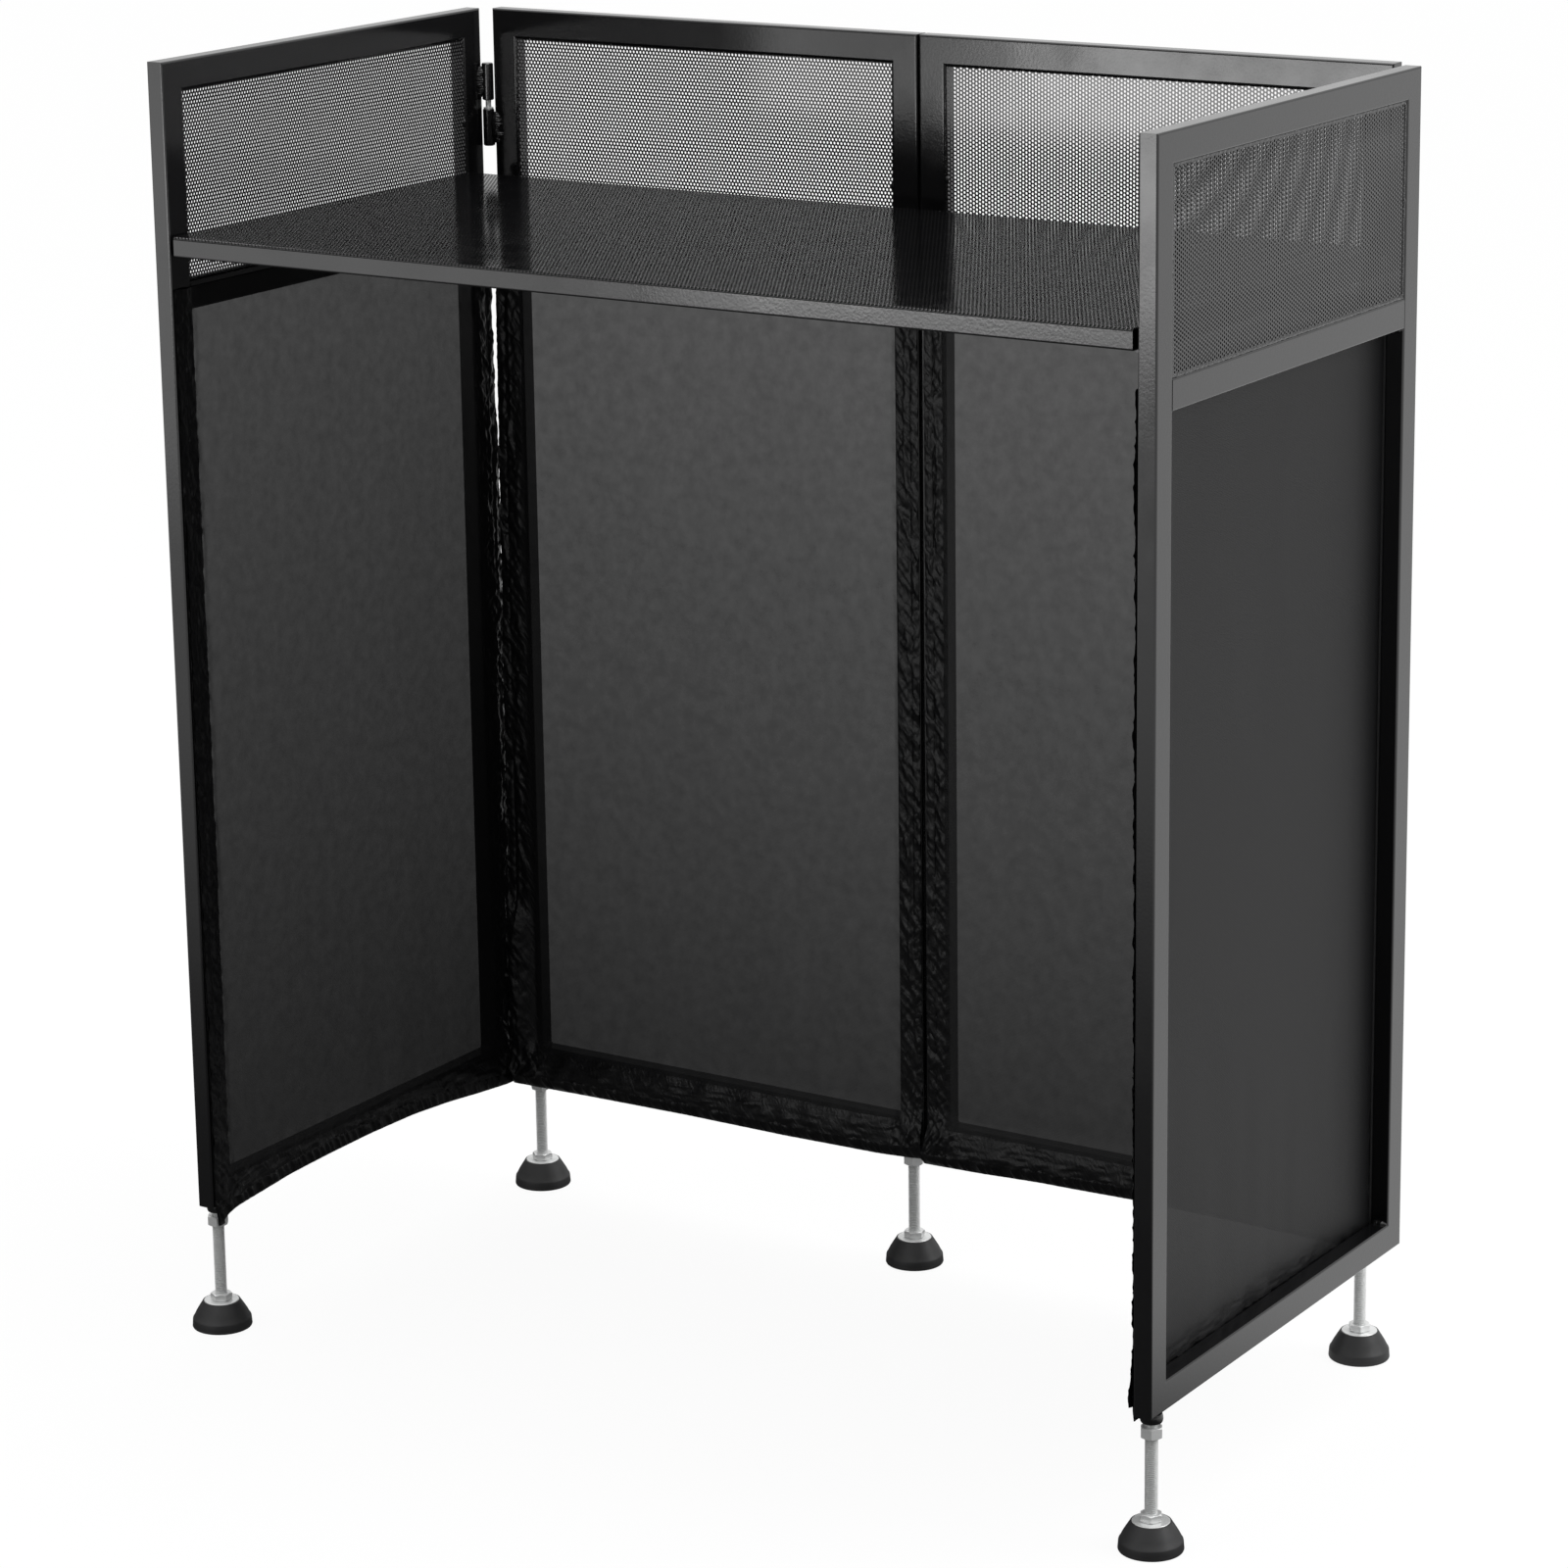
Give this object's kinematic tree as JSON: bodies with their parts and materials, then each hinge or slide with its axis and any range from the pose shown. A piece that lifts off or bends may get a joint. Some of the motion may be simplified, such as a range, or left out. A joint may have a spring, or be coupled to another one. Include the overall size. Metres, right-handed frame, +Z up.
{
  "type": "dj booth",
  "caption": "Folding dj booth of hinged black tube-frame panels with perforated windows and cloth scrims, a lift-out perforated table and screw feet.",
  "frame": {"origin": "on the floor, in the middle of the footprint of the pads", "axes": "+Z up, +Y from the performer towards the audience, +X to the performer's right"},
  "size_m": [1.121, 0.5632, 1.274],
  "materials": {
    "black_frame": "gloss black",
    "perforated_sheet": "satin black, perforated",
    "scrim_cloth": "stretch knit",
    "hook_tape": "hook tape",
    "zinc_steel": "zinc plated",
    "pad_rubber": "matt"
  },
  "bodies": {
    "front_left_panel": {"front_left_posts": "black_frame", "front_left_rails": "black_frame", "front_left_mid_rail": "black_frame", "front_left_mesh": "perforated_sheet", "front_left_scrim": "scrim_cloth", "front_left_hook_tape": "hook_tape", "front_left_foot_collars": "black_frame", "front_left_lock_nuts": "zinc_steel", "front_left_corner_knuckles": "black_frame", "front_left_centre_knuckles": "black_frame", "front_left_hinge_pins": "zinc_steel"},
    "left_panel": {"left_posts": "black_frame", "left_rails": "black_frame", "left_mid_rail": "black_frame", "left_mesh": "perforated_sheet", "left_scrim": "scrim_cloth", "left_hook_tape": "hook_tape", "left_foot_collar": "black_frame", "left_lock_nut": "zinc_steel", "left_corner_knuckles": "black_frame", "left_table_ledge": "black_frame"},
    "front_right_panel": {"front_right_posts": "black_frame", "front_right_rails": "black_frame", "front_right_mid_rail": "black_frame", "front_right_mesh": "perforated_sheet", "front_right_scrim": "scrim_cloth", "front_right_hook_tape": "hook_tape", "front_right_foot_collar": "black_frame", "front_right_lock_nut": "zinc_steel", "front_right_centre_knuckles": "black_frame", "front_right_corner_knuckles": "black_frame", "front_right_hinge_pins": "zinc_steel"},
    "right_panel": {"right_posts": "black_frame", "right_rails": "black_frame", "right_mid_rail": "black_frame", "right_mesh": "perforated_sheet", "right_scrim": "scrim_cloth", "right_hook_tape": "hook_tape", "right_foot_collar": "black_frame", "right_lock_nut": "zinc_steel", "right_corner_knuckles": "black_frame", "right_table_ledge": "black_frame"},
    "table": {"table_long_rails": "black_frame", "table_cross_rails": "black_frame", "table_sheet": "perforated_sheet"},
    "near_left_foot": {"near_left_pad": "pad_rubber", "near_left_plate": "zinc_steel"},
    "near_left_screw": {"near_left_stem": "zinc_steel"},
    "far_left_foot": {"far_left_pad": "pad_rubber", "far_left_plate": "zinc_steel"},
    "far_left_screw": {"far_left_stem": "zinc_steel"},
    "centre_foot": {"centre_pad": "pad_rubber", "centre_plate": "zinc_steel"},
    "centre_screw": {"centre_stem": "zinc_steel"},
    "far_right_foot": {"far_right_pad": "pad_rubber", "far_right_plate": "zinc_steel"},
    "far_right_screw": {"far_right_stem": "zinc_steel"},
    "near_right_foot": {"near_right_pad": "pad_rubber", "near_right_plate": "zinc_steel"},
    "near_right_screw": {"near_right_stem": "zinc_steel"}
  },
  "joints": [
    {"name": "left_corner_hinge", "type": "hinge", "parent": "front_left_panel", "child": "left_panel", "pos_m": [-0.51525, 0.24038, 0], "axis": [0, 0, -1], "range_deg": [0, 90]},
    {"name": "centre_hinge", "type": "hinge", "parent": "front_left_panel", "child": "front_right_panel", "pos_m": [0, 0.26687, 0], "axis": [0, 0, 1], "range_deg": [0, 175]},
    {"name": "right_corner_hinge", "type": "hinge", "parent": "front_right_panel", "child": "right_panel", "pos_m": [0.51525, 0.24038, 0], "axis": [0, 0, 1], "range_deg": [0, 90]},
    {"name": "table_lift", "type": "slide", "parent": "front_left_panel", "child": "table", "axis": [0, 0, 1], "range_m": [0, 0.2]},
    {"name": "near_left_foot_slide", "type": "slide", "parent": "left_panel", "child": "near_left_foot", "axis": [0, 0, 1], "range_m": [-0.02, 0.06]},
    {"name": "near_left_stem_turn", "type": "hinge", "parent": "near_left_foot", "child": "near_left_screw", "pos_m": [-0.5305, -0.25162, 0], "axis": [0, 0, 1], "range_deg": [-4125, 12355]},
    {"name": "far_left_foot_slide", "type": "slide", "parent": "front_left_panel", "child": "far_left_foot", "axis": [0, 0, 1], "range_m": [-0.02, 0.06]},
    {"name": "far_left_stem_turn", "type": "hinge", "parent": "far_left_foot", "child": "far_left_screw", "pos_m": [-0.49125, 0.25162, 0], "axis": [0, 0, 1], "range_deg": [-4125, 12355]},
    {"name": "centre_foot_slide", "type": "slide", "parent": "front_left_panel", "child": "centre_foot", "axis": [0, 0, 1], "range_m": [-0.02, 0.06]},
    {"name": "centre_stem_turn", "type": "hinge", "parent": "centre_foot", "child": "centre_screw", "pos_m": [-0.01925, 0.25162, 0], "axis": [0, 0, 1], "range_deg": [-4125, 12355]},
    {"name": "far_right_foot_slide", "type": "slide", "parent": "front_right_panel", "child": "far_right_foot", "axis": [0, 0, 1], "range_m": [-0.02, 0.06]},
    {"name": "far_right_stem_turn", "type": "hinge", "parent": "far_right_foot", "child": "far_right_screw", "pos_m": [0.49125, 0.25162, 0], "axis": [0, 0, 1], "range_deg": [-4125, 12355]},
    {"name": "near_right_foot_slide", "type": "slide", "parent": "right_panel", "child": "near_right_foot", "axis": [0, 0, 1], "range_m": [-0.02, 0.06]},
    {"name": "near_right_stem_turn", "type": "hinge", "parent": "near_right_foot", "child": "near_right_screw", "pos_m": [0.5305, -0.25162, 0], "axis": [0, 0, 1], "range_deg": [-4125, 12355]}
  ],
  "couplings": [
    {"joint": "near_left_stem_turn", "follows": "near_left_foot_slide", "rad_per_m": 3590.4},
    {"joint": "far_left_stem_turn", "follows": "far_left_foot_slide", "rad_per_m": 3590.4},
    {"joint": "centre_stem_turn", "follows": "centre_foot_slide", "rad_per_m": 3590.4},
    {"joint": "far_right_stem_turn", "follows": "far_right_foot_slide", "rad_per_m": 3590.4},
    {"joint": "near_right_stem_turn", "follows": "near_right_foot_slide", "rad_per_m": 3590.4}
  ]
}
